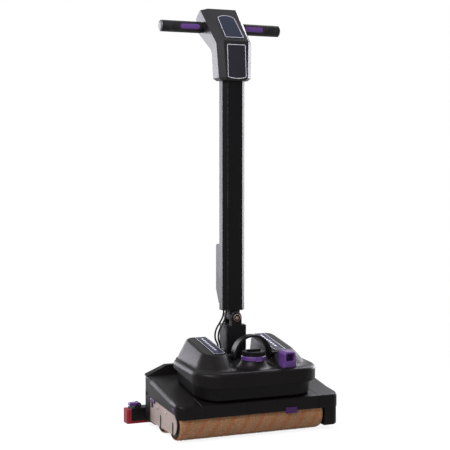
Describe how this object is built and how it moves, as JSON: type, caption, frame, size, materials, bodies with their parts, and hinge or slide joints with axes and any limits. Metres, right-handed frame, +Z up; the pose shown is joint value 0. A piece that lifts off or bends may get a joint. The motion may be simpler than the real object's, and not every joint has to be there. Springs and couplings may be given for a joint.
{
  "type": "floor scrubber dryer",
  "caption": "Upright floor scrubber dryer: counter-rotating cylindrical brushes under a sloping deck, lift-off tank with carry handle, sprung rear squeegee and a tilting pole with T-bar.",
  "frame": {"origin": "on the floor, in the middle of the footprint of the bounding box", "axes": "+Z up, -Y the front with the brush that the operator pushes ahead, +X the side of the gear case"},
  "size_m": [0.544, 0.328, 1.121],
  "materials": {
    "black_plastic": "fine-grained moulding, satin",
    "battery_plastic": "matt moulding",
    "sheet_steel": "brushed sheet",
    "alloy": "black anodised",
    "painted_pole": "black anodised extrusion, satin",
    "purple_plastic": "semi-gloss",
    "red_rubber": "smooth rubber",
    "grip_rubber": "matt rubber",
    "bristle_fibre": "dense fibre in two shades",
    "gear_plastic": "moulded",
    "motor_case": "painted",
    "cable_sheath": "smooth",
    "panel_film": "printed film"
  },
  "bodies": {
    "base": {"chassis": "alloy", "left_end_plate": "sheet_steel", "end_plate_screws": "sheet_steel", "left_rear_cover": "black_plastic", "gear_case_cover": "black_plastic", "deck_cover": "black_plastic", "front_cover": "black_plastic", "drive_motor": "motor_case", "suction_motor": "motor_case", "fan_housing": "gear_plastic", "water_pump": "gear_plastic", "spray_bar": "gear_plastic", "pivot_bracket": "alloy", "tilt_pin": "sheet_steel"},
    "front_brush": {"front_brush_core": "alloy", "front_bristles": "bristle_fibre", "front_brush_gear": "gear_plastic"},
    "rear_brush": {"rear_brush_core": "alloy", "rear_bristles": "bristle_fibre", "rear_brush_gear": "gear_plastic"},
    "front_idler": {"front_idler_gear": "gear_plastic"},
    "rear_idler": {"rear_idler_gear": "gear_plastic"},
    "drive_idler": {"drive_idler_gear": "gear_plastic"},
    "pinion": {"motor_pinion": "gear_plastic"},
    "impeller": {"suction_impeller": "gear_plastic"},
    "corner_tab": {"corner_tab": "purple_plastic"},
    "front_tab": {"front_tab": "purple_plastic"},
    "side_latch": {"side_latch": "purple_plastic"},
    "tank": {"tank_body": "black_plastic", "tank_lid": "black_plastic", "pod_plates": "panel_film", "neck_collar": "purple_plastic", "fill_spout": "purple_plastic"},
    "cap": {"tank_cap": "black_plastic"},
    "carry_handle": {"carry_handle": "black_plastic"},
    "yoke": {"yoke": "alloy", "pivot_bolt": "sheet_steel", "front_cable": "cable_sheath", "rear_cable": "cable_sheath"},
    "pole": {"pole_foot": "alloy", "pole": "painted_pole", "battery_cradle": "black_plastic", "head_front": "black_plastic", "head_rear": "black_plastic", "upper_panel": "panel_film", "lower_panel": "panel_film", "handle_bar": "sheet_steel", "left_grip": "grip_rubber", "right_grip": "grip_rubber"},
    "battery": {"battery": "battery_plastic"},
    "left_button": {"left_button": "purple_plastic"},
    "right_button": {"right_button": "purple_plastic"},
    "squeegee": {"squeegee_holder": "black_plastic", "front_blade": "red_rubber", "rear_blade": "red_rubber", "blade_ends": "red_rubber"},
    "left_lever": {"left_lever": "purple_plastic"},
    "right_lever": {"right_lever": "purple_plastic"}
  },
  "joints": [
    {"name": "front_brush_spin", "type": "hinge", "parent": "base", "child": "front_brush", "pos_m": [0, -0.104, 0.0435], "axis": [1, 0, 0], "continuous": true},
    {"name": "rear_brush_spin", "type": "hinge", "parent": "base", "child": "rear_brush", "pos_m": [0, -0.014, 0.0435], "axis": [1, 0, 0], "continuous": true},
    {"name": "front_idler_spin", "type": "hinge", "parent": "base", "child": "front_idler", "pos_m": [0.1915, -0.072, 0.0435], "axis": [1, 0, 0], "continuous": true},
    {"name": "rear_idler_spin", "type": "hinge", "parent": "base", "child": "rear_idler", "pos_m": [0.1915, -0.046, 0.0435], "axis": [1, 0, 0], "continuous": true},
    {"name": "drive_idler_spin", "type": "hinge", "parent": "base", "child": "drive_idler", "pos_m": [0.1915, 0.031, 0.0435], "axis": [1, 0, 0], "continuous": true},
    {"name": "pinion_spin", "type": "hinge", "parent": "base", "child": "pinion", "pos_m": [0.1915, 0.067, 0.0435], "axis": [1, 0, 0], "continuous": true},
    {"name": "impeller_spin", "type": "hinge", "parent": "base", "child": "impeller", "pos_m": [-0.11, 0.067, 0.08], "axis": [0, 0, 1], "continuous": true},
    {"name": "corner_tab_press", "type": "slide", "parent": "base", "child": "corner_tab", "axis": [1, 0, 0], "range_m": [0, 0.002], "stiffness_N_per_m": 300, "springref_m": -0.001},
    {"name": "front_tab_flip", "type": "hinge", "parent": "base", "child": "front_tab", "pos_m": [0.085, -0.15035, 0.06875], "axis": [-1, 0, 0], "range_deg": [0, 35]},
    {"name": "side_latch_slide", "type": "slide", "parent": "base", "child": "side_latch", "axis": [0, 0, -1], "range_m": [0, 0.008]},
    {"name": "tank_lift", "type": "slide", "parent": "base", "child": "tank", "axis": [0, -0.6, 0.8], "range_m": [0, 0.12]},
    {"name": "cap_turn", "type": "hinge", "parent": "tank", "child": "cap", "pos_m": [0, -0.099, 0.209], "axis": [0, 0, 1], "range_deg": [0, 90]},
    {"name": "carry_handle_swing", "type": "hinge", "parent": "tank", "child": "carry_handle", "pos_m": [0, -0.086, 0.202], "axis": [1, 0, 0], "range_deg": [0, 60]},
    {"name": "handle_tilt", "type": "hinge", "parent": "base", "child": "yoke", "pos_m": [0, 0.035, 0.168], "axis": [-1, 0, 0], "range_deg": [0, 60]},
    {"name": "handle_swing", "type": "hinge", "parent": "yoke", "child": "pole", "pos_m": [0, 0.035, 0.288], "axis": [0, 1, 0], "range_deg": [-35, 35], "deforming": ["front_cable", "rear_cable"]},
    {"name": "battery_slide", "type": "slide", "parent": "pole", "child": "battery", "axis": [0, 0, 1], "range_m": [0, 0.17]},
    {"name": "left_button_press", "type": "slide", "parent": "pole", "child": "left_button", "axis": [0, 1, 0], "range_m": [0, 0.0012], "stiffness_N_per_m": 600, "springref_m": -0.001},
    {"name": "right_button_press", "type": "slide", "parent": "pole", "child": "right_button", "axis": [0, 1, 0], "range_m": [0, 0.0012], "stiffness_N_per_m": 600, "springref_m": -0.001},
    {"name": "squeegee_lift", "type": "hinge", "parent": "base", "child": "squeegee", "pos_m": [0, 0.1083, 0.036], "axis": [1, 0, 0], "range_deg": [0, 25], "stiffness_Nm_per_rad": 6, "springref_deg": -34.38},
    {"name": "left_lever_flip", "type": "hinge", "parent": "squeegee", "child": "left_lever", "pos_m": [-0.236, 0.139, 0.049], "axis": [0, 1, 0], "range_deg": [0, 80]},
    {"name": "right_lever_flip", "type": "hinge", "parent": "squeegee", "child": "right_lever", "pos_m": [0.236, 0.139, 0.049], "axis": [0, -1, 0], "range_deg": [0, 80]}
  ],
  "couplings": [
    {"joint": "rear_brush_spin", "follows": "front_brush_spin", "ratio": -1},
    {"joint": "front_idler_spin", "follows": "front_brush_spin", "ratio": -1.4615},
    {"joint": "rear_idler_spin", "follows": "front_brush_spin", "ratio": 1.4615},
    {"joint": "drive_idler_spin", "follows": "front_brush_spin", "ratio": 0.73077},
    {"joint": "pinion_spin", "follows": "front_brush_spin", "ratio": -1.9}
  ]
}
